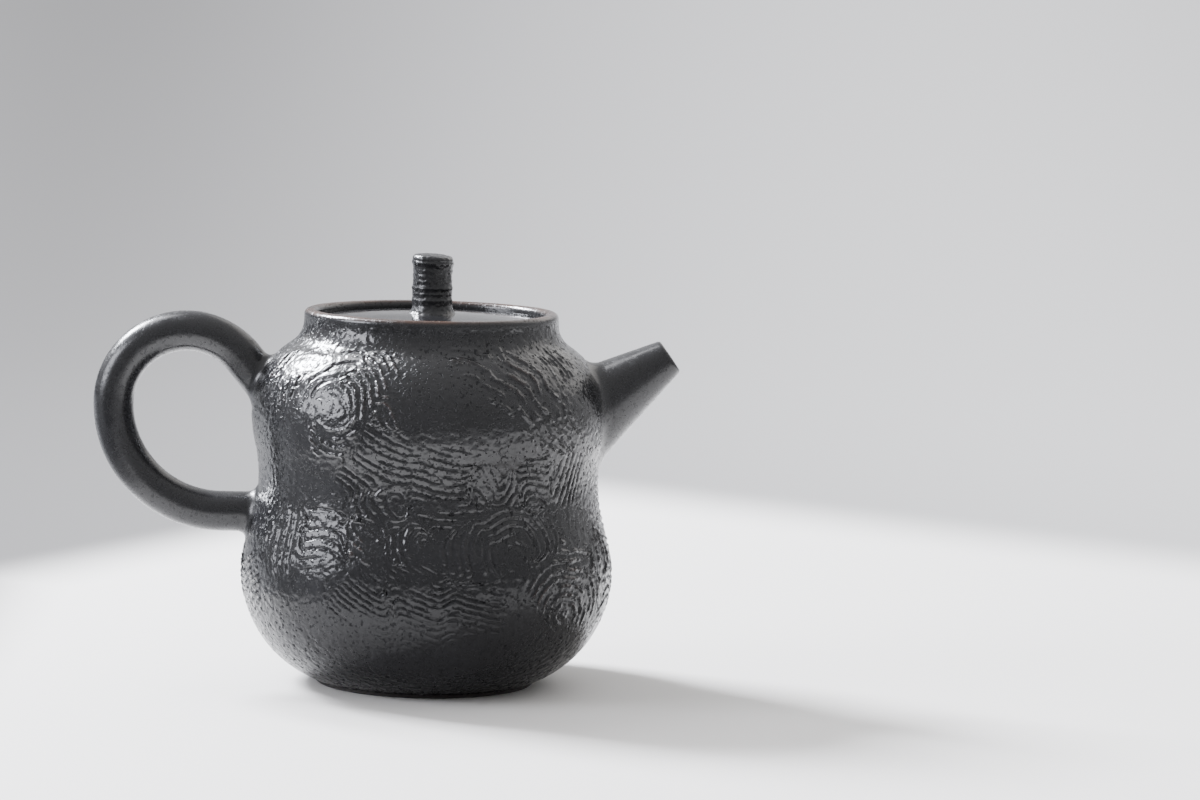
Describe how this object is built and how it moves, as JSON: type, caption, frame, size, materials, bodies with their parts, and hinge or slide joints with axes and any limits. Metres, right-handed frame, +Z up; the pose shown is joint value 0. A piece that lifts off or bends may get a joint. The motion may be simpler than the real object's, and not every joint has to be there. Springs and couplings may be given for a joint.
{
  "type": "teapot",
  "caption": "Small black-glazed stoneware teapot with a gourd body, side ear handle, cone spout with inner strainer and a lift-off sunken lid with a ringed knob.",
  "frame": {"origin": "centre of the foot ring, on the plane that the pot stands on", "axes": "+Z up along the throwing axis, +X towards the spout, -X towards the handle"},
  "size_m": [0.1331, 0.0842, 0.0978],
  "materials": {
    "black_glaze": "semi-gloss black glaze that breaks brown on edges",
    "bare_clay": "matt unglazed iron-rich stoneware"
  },
  "bodies": {
    "pot": {"pot_body": "black_glaze", "spout": "black_glaze", "spout_strainer": "bare_clay", "spout_seam_coil": "black_glaze", "handle": "black_glaze", "handle_lower_seam_coil": "black_glaze", "handle_upper_seam_coil": "black_glaze"},
    "lid": {"lid_plate": "black_glaze", "lid_flange": "bare_clay", "lid_knob": "black_glaze"}
  },
  "joints": [
    {"name": "lid_lift", "type": "slide", "parent": "pot", "child": "lid", "axis": [0, 0, 1], "range_m": [0, 0.05]}
  ]
}
